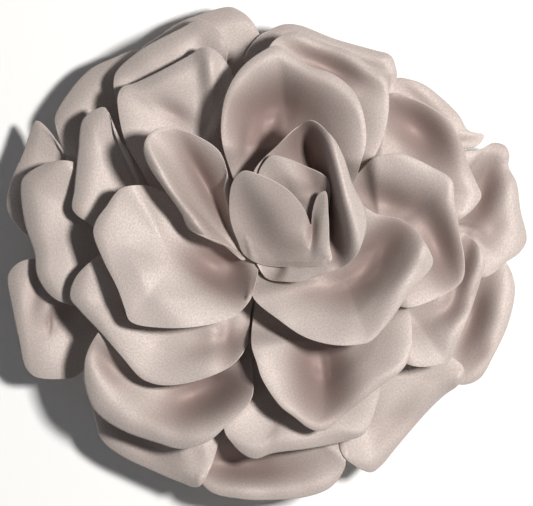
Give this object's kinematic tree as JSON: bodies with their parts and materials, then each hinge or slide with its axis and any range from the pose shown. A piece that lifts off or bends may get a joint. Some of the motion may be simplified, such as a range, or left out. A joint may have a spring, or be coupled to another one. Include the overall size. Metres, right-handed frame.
{
  "type": "flower hair clip",
  "caption": "Large satin rose of many separate curled petals on a felt disc, glued to a sprung metal alligator hair clip whose toothed jaw opens with a thumb lever.",
  "frame": {"origin": "on the table under the middle of the whole piece, as it lies on its clip", "axes": "+Z out of the flower's face, +Y towards its back petals, -X towards the clip's nose"},
  "size_m": [0.131, 0.1238, 0.0427],
  "materials": {
    "satin": "satin",
    "core_cloth": "matte",
    "hot_glue": "clear",
    "felt": "matte",
    "plated_steel": "polished",
    "spring_steel": "drawn wire"
  },
  "bodies": {
    "flower": {"bud_petal_back": "satin", "bud_petal_front": "satin", "felt_disc": "felt", "felt_strap": "felt", "glue_pad": "hot_glue", "heart_petal_left": "satin", "heart_petal_right": "satin", "hinge_pin": "plated_steel", "low_petal_back_left": "satin", "low_petal_front": "satin", "low_petal_front_left": "satin", "low_petal_left": "satin", "mid_petal_back": "satin", "mid_petal_back_left": "satin", "mid_petal_back_right": "satin", "mid_petal_front": "satin", "mid_petal_front_left": "satin", "mid_petal_left": "satin", "mid_petal_right": "satin", "outer_petal_back": "satin", "outer_petal_back_left": "satin", "outer_petal_back_right": "satin", "outer_petal_front": "satin", "outer_petal_front_left": "satin", "outer_petal_left": "satin", "outer_petal_left_back": "satin", "outer_petal_left_front": "satin", "outer_petal_right": "satin", "outer_petal_right_back": "satin", "outer_petal_right_front": "satin", "stitched_core": "core_cloth", "top_petal_back": "satin", "top_petal_front_right": "satin", "top_petal_left": "satin", "top_petal_right": "satin", "torsion_spring": "spring_steel", "upper_arm": "plated_steel"},
    "lever": {"lower_arm": "plated_steel"}
  },
  "joints": [
    {"name": "jaw_hinge", "type": "hinge", "parent": "flower", "child": "lever", "pos_m": [0.003, 0, 0.0072], "axis": [0, -1, 0], "range_deg": [0, 24], "stiffness_Nm_per_rad": 0.12, "springref_deg": -28.65, "deforming": ["torsion_spring"]}
  ]
}
